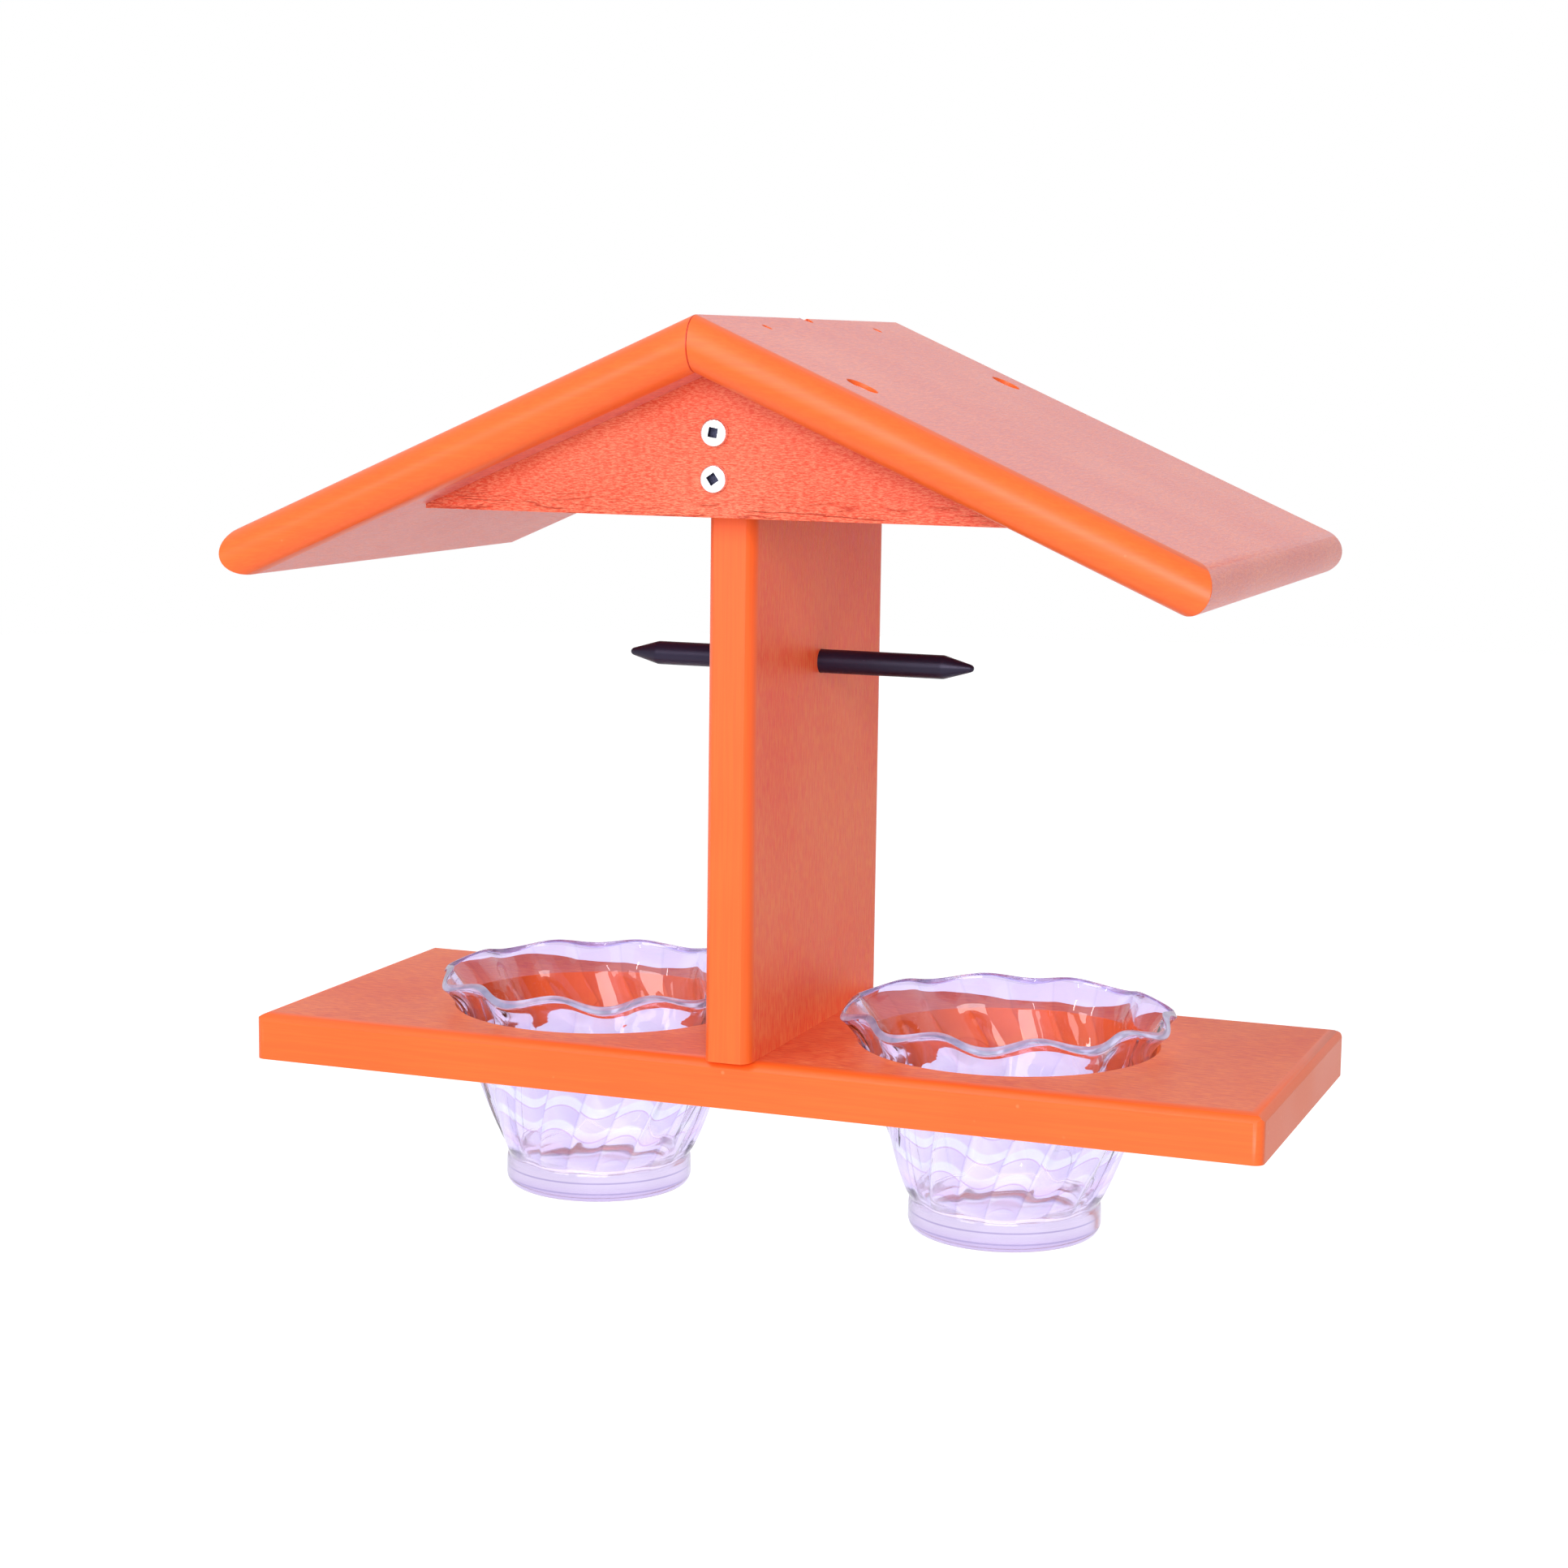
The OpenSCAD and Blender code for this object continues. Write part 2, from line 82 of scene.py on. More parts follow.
@dataclass
class Sheet:
    """The shader node tree of a material, a world or a group, while it is wired."""

    tree: bpy.types.NodeTree

    def add(self, kind: str, inputs: Optional[dict] = None, **settings: object) -> bpy.types.Node:
        """Adds a shader node.

        Args:
            kind: The node's type name, after the word that all shader nodes share.
            inputs: Values or sockets for its inputs, by input name or number.
            **settings: Attributes of the node.

        Returns:
            The new node.
        """
        node = self.tree.nodes.new(f"ShaderNode{kind}")
        for name, value in settings.items():
            setattr(node, name, value)
        for key, value in (inputs or {}).items():
            self.feed(node.inputs[key], value)
        return node

    def feed(self, socket: Socket, value: object) -> None:
        """Links a socket to an input, or sets its plain value.

        Args:
            socket: The input.
            value: An output socket, a number or a colour.
        """
        if isinstance(value, Socket):
            self.tree.links.new(value, socket)
        else:
            socket.default_value = value

    def calc(self, operation: str, *values: object, clamp: bool = False) -> Socket:
        """Adds a Math node, whose result clamp holds between 0 and 1."""
        node = self.add("Math", dict(enumerate(values)), operation=operation, use_clamp=clamp)
        return node.outputs[0]

    def times(self, first: object, second: object) -> Socket:
        """Multiplies two numbers or sockets."""
        return self.calc("MULTIPLY", first, second)

    def scaled(self, value: object, gain: object, offset: object) -> Socket:
        """Multiplies a value by a gain and adds an offset."""
        return self.calc("MULTIPLY_ADD", value, gain, offset)

    def mixed(self, first: Socket, part: float, second: Socket) -> Socket:
        """Adds a part of one value to the rest of another."""
        return self.scaled(first, part, self.times(second, 1 - part))

    def apart(self, value: Socket, level: float) -> Socket:
        """Measures how far a value is from a level."""
        return self.calc("ABSOLUTE", self.calc("SUBTRACT", value, level))

    def window(self, value: object, low: float, high: float, bottom: float = 0.0,
               top: float = 1.0, kind: str = "SMOOTHSTEP") -> Socket:
        """Maps low to bottom and high to top, and holds the result between them."""
        node = self.add("MapRange", {0: value, 1: low, 2: high, 3: bottom, 4: top},
                        interpolation_type=kind)
        return node.outputs[0]

    def blend(self, factor: object, first: object, second: object) -> Socket:
        """Mixes two colours.

        Args:
            factor: Share of the second colour.
            first: The first colour, plain or a socket.
            second: The second colour.

        Returns:
            The mixed colour's socket.
        """
        first, second = (colour if isinstance(colour, Socket) else (*colour, 1.0)
                         for colour in (first, second))
        node = self.add("Mix", {0: factor, 6: first, 7: second}, data_type="RGBA")
        return node.outputs[2]

    def layered(self, colour: object, *layers: tuple[object, object]) -> Socket:
        """Lays colours over a colour.

        Args:
            colour: The colour under them.
            *layers: The mask and the colour of each layer, from the lowest to the highest.

        Returns:
            The socket of the whole.
        """
        for mask, layer in layers:
            colour = self.blend(mask, colour, layer)
        return colour

    def parts(self, vector: Socket) -> Sockets:
        """Takes a vector apart."""
        return self.add("SeparateXYZ", {0: vector}).outputs

    def place(self, grain: Grain = Grain.ALONG_X) -> Socket:
        """Reads Object coordinates with the grain's axis first."""
        parts = self.parts(self.add("TexCoord").outputs["Object"])
        return self.add("CombineXYZ", {i: parts[j] for i, j in enumerate(grain.value)}).outputs[0]

    def stretched(self, vector: Socket, along: Socket, across: Socket) -> Socket:
        """Divides a place by a pattern's length on the first axis and its width on the others.

        Args:
            vector: The place.
            along: The pattern's length.
            across: Its width.

        Returns:
            The result socket.
        """
        first = self.calc("DIVIDE", 1.0, along)
        other = self.calc("DIVIDE", 1.0, across)
        scale = self.add("CombineXYZ", {0: first, 1: other, 2: other}).outputs[0]
        return self.add("VectorMath", {0: vector, 1: scale}, operation="MULTIPLY").outputs[0]

    def noise(self, vector: Socket, scale: float, detail: float = 2.0,
              rough: float = 0.5) -> Socket:
        """Adds a Noise Texture, where detail is its octaves and rough what each one keeps."""
        node = self.add("TexNoise", {"Vector": vector, "Scale": scale, "Detail": detail,
                                     "Roughness": rough})
        return node.outputs[0]

    def seen_directly(self) -> Socket:
        """Gives 1 for what the camera sees directly, in a reflection or through a cup."""
        path = self.add("LightPath").outputs
        glossy = self.calc("ADD", path["Is Camera Ray"], path["Is Glossy Ray"])
        return self.calc("ADD", glossy, path["Is Transmission Ray"], clamp=True)


class Finish(Sheet):
    """A new material with one Principled shader, and the nodes that feed it."""

    def __init__(self, name: str, **values: object) -> None:
        """Makes the material.

        Args:
            name: The material's name.
            **values: Plain values of the shader's inputs, with underscores for spaces.
        """
        self.material = bpy.data.materials.new(name)
        self.material.use_nodes = True
        super().__init__(self.material.node_tree)
        self.shader = self.tree.nodes["Principled BSDF"]
        self.coat(**values)

    def coat(self, **values: object) -> None:
        """Feeds the shader's inputs, named with underscores for the spaces in their names."""
        for key, value in values.items():
            self.feed(self.shader.inputs[key.replace("_", " ")], value)

    def finished(self, colour: Socket, roughness: Socket, height: Socket,
                 depth: float) -> Material:
        """Feeds the shader what changes over the surface.

        Args:
            colour: The base colour.
            roughness: The roughness.
            height: The height that the bump follows, from 0 to 1.
            depth: Height of 1 in metres.

        Returns:
            The material.
        """
        bump = self.add("Bump", {"Distance": depth, "Height": height})
        self.coat(Base_Color=colour, Roughness=roughness, Normal=bump.outputs[0])
        return self.material


@dataclass
class Effect:
    """A shader node group that several materials share, built when it is first used.

    Its inputs have plain defaults, and None stands for a vector. Its wire function makes the
    inside, from the input sockets to output sockets by name, which are all plain numbers.
    """

    name: str
    inputs: dict[str, Optional[float]]
    wire: Callable[[Sheet, Sockets], dict[str, Socket]]
    tree: Optional[bpy.types.NodeTree] = None

    def build(self) -> None:
        """Builds the group's tree."""
        tree = bpy.data.node_groups.new(self.name, "ShaderNodeTree")
        for name, default in self.inputs.items():
            kind = "NodeSocketVector" if default is None else "NodeSocketFloat"
            socket = tree.interface.new_socket(name=name, in_out="INPUT", socket_type=kind)
            if default is not None:
                socket.default_value = default
        sheet = Sheet(tree)
        results = self.wire(sheet, tree.nodes.new("NodeGroupInput").outputs)
        for name in results:
            tree.interface.new_socket(name=name, in_out="OUTPUT", socket_type="NodeSocketFloat")
        end = tree.nodes.new("NodeGroupOutput")
        for name, socket in results.items():
            sheet.feed(end.inputs[name], socket)
        self.tree = tree

    def put(self, sheet: Sheet, **values: object) -> Sockets:
        """Puts the group in a material.

        Args:
            sheet: The material's tree.
            **values: Its inputs, with underscores for the spaces in their names.

        Returns:
            The group node's outputs.
        """
        if self.tree is None:
            self.build()
        inputs = {name.replace("_", " "): value for name, value in values.items()}
        return sheet.add("Group", inputs, node_tree=self.tree).outputs


def wire_streaks(sheet: Sheet, given: Sockets) -> dict[str, Socket]:
    """Wires short streaks along the first axis, as a brushed or embossed plastic face has.

    Args:
        sheet: The group's tree.
        given: Its inputs.

    Returns:
        Height for a bump, and Tone, which is high on the raised tops.
    """
    place = sheet.stretched(given["Vector"], given["Length"], given["Width"])
    height = sheet.mixed(sheet.noise(place, 1.0, 2.0, 0.6), 0.65, sheet.noise(place, 2.7, 1.0))
    return {"Height": height, "Tone": sheet.window(height, 0.38, 0.64)}


def wire_cracks(sheet: Sheet, given: Sockets) -> dict[str, Socket]:
    """Wires broken wavy creases that run along the first axis, one under another.

    Args:
        sheet: The group's tree.
        given: Its inputs.

    Returns:
        Crack, which is 1 in a crease.
    """
    place = sheet.stretched(given["Vector"], given["Length"], given["Spacing"])
    bend = sheet.times(sheet.noise(place, 0.5, 1.0), 3.0)
    ripple = sheet.times(sheet.noise(place, 3.0, 2.0, 0.6), 0.8)
    level = sheet.calc("ADD", sheet.parts(place)[2], bend)
    level = sheet.calc("FRACT", sheet.calc("ADD", level, ripple))
    line = sheet.window(sheet.apart(level, 0.5), 0, 0.15, 1, 0)
    where = sheet.window(sheet.noise(place, 0.8, 1.0), 0.44, 0.58)
    both = sheet.times(line, where)
    return {"Crack": sheet.calc("MULTIPLY", both, given["Amount"], clamp=True)}


def wire_mottle(sheet: Sheet, given: Sockets) -> dict[str, Socket]:
    """Wires a broad uneven tone and sparse fine specks.

    Args:
        sheet: The group's tree.
        given: Its inputs.

    Returns:
        Cloud, a soft uneven tone, and Speck, which is 1 on a speck.
    """
    cloud = sheet.window(sheet.noise(given["Vector"], 14.0), 0.3, 0.7)
    cells = sheet.add("TexVoronoi", {"Vector": given["Vector"], "Scale": given["Speck Scale"]})
    core = sheet.window(cells.outputs["Distance"], 0.05, 0.11, 1, 0)
    chance = sheet.add("SeparateColor", {0: cells.outputs["Color"]}).outputs[0]
    return {"Cloud": cloud, "Speck": sheet.times(core, sheet.window(chance, 0.72, 0.76))}


def wire_swirl(sheet: Sheet, given: Sockets) -> dict[str, Socket]:
    """Wires the narrow panels of a swirl cup from the place, the cup's middle and its turn.

    Args:
        sheet: The group's tree.
        given: Its inputs, in metres and degrees.

    Returns:
        Panel, which rises from 0 to 1 across a panel, Ridge, which is 1 on its edges, Band and
        Line, the curved patches between edges and their rims, and Height in millimetres. The
        cup's material paints shade and reflections with them.
    """
    cup = SwirlCup
    panels = 2 * cup.flutes
    wide = 360 / panels
    parts = sheet.parts(given["Vector"])
    across = sheet.calc("SUBTRACT", parts[0], given["Middle X"])
    deep = sheet.calc("SUBTRACT", parts[1], given["Middle Y"])
    height = sheet.calc("DIVIDE", sheet.calc("SUBTRACT", parts[2], given["Base"]), MM)
    around = sheet.times(sheet.calc("ARCTAN2", deep, across), 180 / pi)
    turned = given["Turn"]
    for low, high, twist in ((cup.foot_h, cup.drop, cup.twist),
                             (cup.drop - cup.lip, cup.drop + cup.lip, cup.lip_twist)):
        turned = sheet.calc("ADD", turned, sheet.window(height, low, high, 0, twist, "LINEAR"))
    cycle = sheet.calc("SUBTRACT", sheet.calc("SUBTRACT", around, turned), wide / 2)
    cycle = sheet.calc("DIVIDE", cycle, wide)
    panel = sheet.calc("FRACT", cycle)
    off = sheet.calc("ABSOLUTE", sheet.scaled(panel, 2.0, -1.0))
    number = sheet.calc("FLOORED_MODULO", sheet.calc("FLOOR", cycle), panels)
    chance = sheet.calc("FRACT", sheet.times(number, 0.618))
    way = sheet.scaled(sheet.calc("FLOORED_MODULO", number, 2), 2.4, -1.2)
    bow = sheet.times(sheet.calc("POWER", off, 2.0), way)
    level = sheet.calc("ADD", sheet.calc("DIVIDE", height, 11.0),
                       sheet.scaled(bow, 0.3, chance))
    level = sheet.calc("FRACT", level)
    body = sheet.times(sheet.window(height, 15, 22), sheet.window(height, 58, 74, 1, 0))
    band = sheet.times(sheet.window(level, 0, 0.05), sheet.window(level, 0.4, 0.5, 1, 0))
    line = sheet.window(sheet.apart(level, 0.05), 0, 0.05, 1, 0)
    return {"Panel": panel, "Ridge": sheet.window(off, 0.90, 0.985),
            "Band": sheet.times(band, body), "Line": sheet.times(line, body), "Height": height}


STREAKS = Effect("streaks", {"Vector": None, "Length": 4 * MM, "Width": 0.6 * MM},
                 wire_streaks)
CRACKS = Effect("cracks", {"Vector": None, "Length": 12 * MM, "Spacing": 2 * MM,
                           "Amount": 1.0}, wire_cracks)
SWIRL = Effect("swirl", {"Vector": None, "Middle X": 0.0, "Middle Y": 0.0, "Base": 0.0,
                         "Turn": 0.0}, wire_swirl)
MOTTLE = Effect("mottle", {"Vector": None, "Speck Scale": 160.0}, wire_mottle)


@dataclass(frozen=True)
class EmbossedBoard:
    """Finish of a board's wide faces: deep orange with paler streaks, partly painted highlight,
    and creases.
    """

    name: str
    grain: Grain
    deep: Colour = (0.78, 0.06, 0.012)
    pale: Colour = (1.0, 0.29, 0.115)
    speck: Colour = (0.72, 0.10, 0.03)
    # The creases' dark colour is painted shade in their grooves.
    crack: Colour = (0.50, 0.03, 0.01)
    haze: Colour = (0.75, 0.75, 1.0)
    length: float = 8.0 * MM
    width: float = 1.05 * MM
    relief: float = 0.2 * MM
    crease: float = 0.0
    crease_low: float = -51.0 * MM
    crease_high: float = -41.0 * MM
    roughness: float = 0.41
    sheen: float = 0.0
    ior: float = 1.42

    def material(self) -> Material:
        """Returns the finish as a new material."""
        sheet = Finish(self.name, IOR=self.ior, Sheen_Weight=self.sheen, Sheen_Roughness=0.4,
                       Sheen_Tint=(*self.haze, 1.0), Specular_Tint=(0.95, 0.9, 1.0, 1.0))
        place = sheet.place(self.grain)
        streaks = STREAKS.put(sheet, Vector=place, Length=self.length, Width=self.width)
        mottle = MOTTLE.put(sheet, Vector=place)
        # Pale goes on the raised streak tops: partly the skin's own tone, partly painted
        # highlight.
        colour = sheet.layered(
            self.deep, (sheet.mixed(mottle["Cloud"], 0.25, streaks["Tone"]), self.pale),
            (sheet.times(mottle["Speck"], 0.5), self.speck))
        height = streaks["Height"]
        if self.crease > 0:
            crack = self.creased(sheet, place)
            # Creases are grooves in the bump; their dark colour is painted shade.
            colour = sheet.blend(sheet.times(crack, self.crease), colour, self.crack)
            height = sheet.calc("SUBTRACT", height, sheet.times(crack, 2.0))
        return sheet.finished(colour, sheet.scaled(streaks["Tone"], 0.14, self.roughness),
                              height, self.relief)

    def creased(self, sheet: Sheet, place: Socket) -> Socket:
        """Wires long and short creases, most of them below a band of heights.

        Args:
            sheet: The material's tree.
            place: The coordinates with the grain first.

        Returns:
            The socket that is 1 in a crease.
        """
        level = sheet.parts(sheet.place())[2]
        band = sheet.window(level, self.crease_low, self.crease_high, 1.0, 0.03)
        long_ = CRACKS.put(sheet, Vector=place, Length=14 * MM, Spacing=2.6 * MM, Amount=band)
        short = CRACKS.put(sheet, Vector=place, Length=5 * MM, Spacing=1.3 * MM,
                           Amount=sheet.scaled(band, 0.3, 0.12))
        return sheet.calc("MAXIMUM", long_["Crack"], short["Crack"])


@dataclass(frozen=True)
class MachinedBoard:
    """Finish of routed, sawn and drilled places: smooth saturated orange with faint lines."""

    name: str
    grain: Grain
    colour: Colour = (0.95, 0.150, 0.018)
    shade: Colour = (0.92, 0.122, 0.014)
    speck: Colour = (1.0, 0.36, 0.16)
    roughness: float = 0.37
    line_length: float = 60 * MM
    line_width: float = 1.1 * MM

    def material(self) -> Material:
        """Returns the finish as a new material."""
        sheet = Finish(self.name, IOR=1.50, Specular_Tint=(0.96, 0.92, 1.0, 1.0))
        place = sheet.place(self.grain)
        lines = STREAKS.put(sheet, Vector=place, Length=self.line_length,
                            Width=self.line_width)
        mottle = MOTTLE.put(sheet, Vector=place, Speck_Scale=110.0)
        colour = sheet.layered(
            self.shade, (sheet.mixed(mottle["Cloud"], 0.4, lines["Tone"]), self.colour),
            (sheet.times(mottle["Speck"], 0.35), self.speck))
        peel = sheet.noise(place, 900.0)
        return sheet.finished(colour, sheet.scaled(mottle["Cloud"], 0.06, self.roughness),
                              sheet.mixed(lines["Height"], 0.5, peel), 0.03 * MM)


@dataclass(frozen=True)
class ClearCup:
    """Finish of a cup: clear hard plastic with a breath of lilac, deeper where it is thick, with
    painted shade and painted reflections in its swirl pattern.
    """

    name: str
    middle: Vector
    turn: float
    light: Colour = (0.83, 0.765, 0.985)
    # The next six colours paint shade and reflections into the swirl pattern; deep also carries
    # random tone.
    deep: Colour = (0.635, 0.555, 0.90)
    reflection_patch: Colour = (0.82, 0.84, 1.0)
    blush_reflection: Colour = (0.74, 0.60, 0.88)
    rose_outline_shade: Colour = (0.64, 0.47, 0.79)
    line: Colour = (0.46, 0.38, 0.70)
    rim: Colour = (0.50, 0.42, 0.74)
    lip: Colour = (0.78, 0.675, 0.955)
    foot: Colour = (0.79, 0.70, 0.955)
    base: Colour = (0.66, 0.54, 0.88)

    def material(self) -> Material:
        """Returns the finish as a new material, tinted where the camera's ray meets it."""
        sheet = Finish(self.name, IOR=1.49, Transmission_Weight=1.0)
        place = sheet.place()
        swirl = SWIRL.put(sheet, Vector=place, Middle_X=self.middle.x, Middle_Y=self.middle.y,
                          Base=self.middle.z, Turn=self.turn)
        cloud = MOTTLE.put(sheet, Vector=place, Speck_Scale=90.0)["Cloud"]
        height = swirl["Height"]
        facing = sheet.add("LayerWeight").outputs["Facing"]
        # Painted shade: two thin dark rings on the foot, at its step and at the floor's edge.
        rings = [(sheet.window(sheet.apart(height, middle), 0.1, reach, 0.9, 0), self.line)
                 for middle, reach in ((4.0, 0.6), (8.5, 0.5))]
        colour = sheet.layered(
            # Painted shade: deep rises across each panel, so one side of every flute is darker;
            # the cloud adds random tone.
            self.light, (sheet.mixed(swirl["Panel"], 0.7, cloud), self.deep),
            # Painted reflections: pale curved patches, pinkish low down and bluish white higher
            # up.
            (sheet.times(swirl["Band"], 0.8),
             sheet.blend(sheet.window(height, 24, 34), self.blush_reflection, self.reflection_patch)),
            # Painted shade: a darker rose line along the rim of each patch.
            (swirl["Line"], self.rose_outline_shade),
            (sheet.window(height, 72, 84, 0, 0.85), self.lip),
            # Painted shade: dark lines along the flute edges, fainter on the lip.
            (sheet.times(swirl["Ridge"], sheet.window(height, 66, 80, 0.3, 0.12)), self.line),
            (sheet.window(height, 10, 17, 1, 0), self.foot),
            (sheet.window(height, 2, 8.4, 1, 0), self.base), *rings,
            # Painted shade: a darker lilac where the surface turns away from the view.
            (sheet.window(facing, 0.45, 0.95, 0, 0.75), self.rim))
        doubled = sheet.add("VectorMath", {0: colour, 1: colour}, operation="MULTIPLY")
        seen = sheet.add("LightPath").outputs["Is Camera Ray"]
        colour = sheet.blend(seen, sheet.blend(0.85, colour, (1.0, 1.0, 1.0)), doubled.outputs[0])
        milky = sheet.window(height, 13, 30, 0.10, 0.005)
        return sheet.finished(colour, sheet.scaled(cloud, 0.03, milky),
                              sheet.noise(place, 55.0, 1.0), 0.12 * MM)


@dataclass(frozen=True)
class FrostedEdge:
    """Finish of the lip's edge face, which looks greyer and milkier than the walls."""

    name: str = "cup_edge"
    tint: Colour = (0.44, 0.42, 0.74)
    streak: Colour = (0.62, 0.60, 0.92)

    def material(self) -> Material:
        """Returns the finish as a new material."""
        sheet = Finish(self.name, IOR=1.45, Transmission_Weight=0.5)
        place = sheet.place()
        mottle = MOTTLE.put(sheet, Vector=place, Speck_Scale=200.0)
        cloud = sheet.window(sheet.noise(place, 160.0), 0.35, 0.65)
        return sheet.finished(sheet.blend(cloud, self.tint, self.streak),
                              sheet.scaled(mottle["Cloud"], 0.1, 0.22), cloud, 0.05 * MM)


@dataclass(frozen=True)
class BlackPeg:
    """Finish of the fruit peg: satin black plastic with faint turning lines."""

    name: str = "black_peg"
    dark: Colour = (0.005, 0.004, 0.012)
    worn: Colour = (0.011, 0.008, 0.024)
    speck: Colour = (0.07, 0.06, 0.12)

    def material(self) -> Material:
        """Returns the finish as a new material."""
        sheet = Finish(self.name, IOR=1.42, Specular_Tint=(0.8, 0.7, 1.0, 1.0))
        place = sheet.place()
        lines = STREAKS.put(sheet, Vector=place, Length=0.5 * MM, Width=6 * MM)
        mottle = MOTTLE.put(sheet, Vector=place, Speck_Scale=240.0)
        colour = sheet.layered(self.dark, (mottle["Cloud"], self.worn),
                               (sheet.times(mottle["Speck"], 0.3), self.speck))
        return sheet.finished(colour, sheet.scaled(lines["Tone"], 0.08, 0.34),
                              lines["Height"], 0.03 * MM)


@dataclass(frozen=True)
class ScrewMetal:
    """Finish of the screws: bright plated steel, or painted shade inside a drive."""

    name: str
    colour: Colour = (0.93, 0.93, 0.96)
    worn: Colour = (0.82, 0.82, 0.86)
    metallic: float = 1.0
    roughness: float = 0.24

    def material(self) -> Material:
        """Returns the finish as a new material."""
        sheet = Finish(self.name, Metallic=self.metallic)
        fine = sheet.window(sheet.noise(sheet.place(), 1400.0, 3.0, 0.6), 0.35, 0.65)
        return sheet.finished(sheet.blend(fine, self.worn, self.colour),
                              sheet.scaled(fine, 0.12, self.roughness), fine, 0.012 * MM)


def only(piece: Optional[Piece] = None) -> None:
    """Deselects everything, and makes one object selected and active.

    Args:
        piece: The object, or None to leave nothing selected.
    """
    bpy.ops.object.select_all(action="DESELECT")
    if piece is not None:
        piece.select_set(True)
        bpy.context.view_layer.objects.active = piece


def settle(piece: Piece, angle: float) -> None:
    """Puts an object's place into its mesh, and smooths it up to an angle.

    Args:
        piece: The object.
        angle: Degrees above which an edge stays sharp.
    """
    only(piece)
    bpy.ops.object.transform_apply()
    bpy.ops.object.shade_smooth_by_angle(angle=radians(angle))


def moved(piece: Piece, change: Matrix) -> None:
    """Moves a piece's mesh, and leaves its object at the origin."""
    piece.data.transform(change)
    piece.data.update()


def copied(piece: Piece, name: str) -> Piece:
    """Copies an object with a mesh of its own.

    Args:
        piece: The object to copy.
        name: The copy's name.

    Returns:
        The copy.
    """
    twin = bpy.data.objects.new(name, piece.data.copy())
    twin.data.name = name
    bpy.context.scene.collection.objects.link(twin)
    return twin


def modify(piece: Piece, kind: str, **settings: object) -> None:
    """Adds a modifier and applies it.

    Args:
        piece: The object.
        kind: The modifier's type.
        **settings: Its attributes.
    """
    only(piece)
    modifier = piece.modifiers.new(kind.title(), kind)
    for name, value in settings.items():
        setattr(modifier, name, value)
    bpy.ops.object.modifier_apply(modifier=modifier.name)


def turned_blank(name: str, section: Sequence[tuple[float, float]], sides: int) -> Piece:
    """Extrudes a ring along a section, and closes both ends.

    Args:
        name: The piece's name.
        section: Height and radius of each ring, in millimetres.
        sides: Number of points round a ring.

    Returns:
        The plain round piece.
    """
    only()
    z, r = section[0]
    bpy.ops.mesh.primitive_circle_add(vertices=sides, radius=r * MM, fill_type="TRIFAN",
                                      location=(0, 0, z * MM))
    piece = bpy.context.object
    piece.name = piece.data.name = name
    bpy.ops.object.transform_apply()
    bpy.ops.object.mode_set(mode="EDIT")
    bpy.ops.mesh.select_all(action="DESELECT")
    bpy.ops.mesh.select_non_manifold()
    for level, radius in section[1:]:
        bpy.ops.mesh.extrude_region_move(
            TRANSFORM_OT_translate={"value": (0, 0, (level - z) * MM)})
        bpy.ops.transform.resize(value=(radius / r, radius / r, 1), center_override=(0, 0, 0))
        z, r = level, radius
    bpy.ops.mesh.extrude_region_move()
    bpy.ops.mesh.merge(type="CENTER")
    bpy.ops.mesh.select_all(action="SELECT")
    bpy.ops.mesh.normals_make_consistent(inside=False)
    bpy.ops.object.mode_set(mode="OBJECT")
    return piece


def dress(piece: Piece, node: str, body: str = "frame") -> None:
    """Makes a finished piece stand for a node and ride on its body.

    Args:
        piece: The finished piece.
        node: The node that it stands for.
        body: The body that it rides on.
    """
    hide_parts(node)
    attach(piece, body)
    LOG.info("%s: %d faces, stands for %s", piece.name, len(piece.data.polygons), node)


@dataclass
class Board:
    """A board, cleaned up from its construction solid and given softened arrises."""

    node: str
    slot: str
    wide: Vector
    embossed: EmbossedBoard
    machined: MachinedBoard
    # The third finish holds painted shade, along a seam or inside a cup's hole.
    painted_shade: Optional[MachinedBoard] = None
    arris: float = 0.45 * MM
    clamped: bool = True
    factory_edge: Optional[Vector] = None
    seam: float = 0.0
    hole_r: float = 0.0

    def build(self, nodes: dict[str, Piece]) -> None:
        """Builds the piece.

        Args:
            nodes: The construction's nodes by name.
        """
        piece = copied(nodes[self.node], f"{self.node}_plank")
        piece.data.materials.clear()
        only(piece)
        bpy.ops.object.mode_set(mode="EDIT")
        bpy.ops.mesh.select_all(action="SELECT")
        bpy.ops.mesh.remove_doubles(threshold=0.001 * MM)
        bpy.ops.mesh.dissolve_limited(angle_limit=radians(0.6))
        bpy.ops.mesh.select_all(action="DESELECT")
        bpy.ops.object.mode_set(mode="OBJECT")
        modify(piece, "BEVEL", width=self.arris, segments=2, limit_method="ANGLE",
               angle_limit=radians(38), use_clamp_overlap=self.clamped)
        settle(piece, 32.0)
        modify(piece, "WEIGHTED_NORMAL", weight=80, keep_sharp=True)
        for finish in (self.embossed, self.machined, self.painted_shade):
            if finish is not None:
                piece.data.materials.append(finish.material())
        for face in piece.data.polygons:
            face.material_index = self.finish_at(face.center, face.normal)
        dress(piece, self.node)

    def finish_at(self, middle: Vector, normal: Vector) -> int:
        """Tells which finish a face has.

        Args:
            middle: The face's middle.
            normal: Its normal.

        Returns:
            0 for the embossed skin of the wide faces and a factory edge, 2 along the seam and
            inside a cup's hole, where shade is painted, and 1 elsewhere.
        """
        off = hypot(abs(middle.x) - SwirlCup.x, middle.y - SwirlCup.y)
        if abs(middle.x) < self.seam or (off < self.hole_r and abs(normal.z) < 0.3):
            return 2
        if abs(normal.dot(self.wide)) > 0.9995:
            return 0
        if self.factory_edge is None:
            return 1
        return 0 if normal.dot(self.factory_edge) > 0.0 and abs(normal.y) < 0.02 else 1


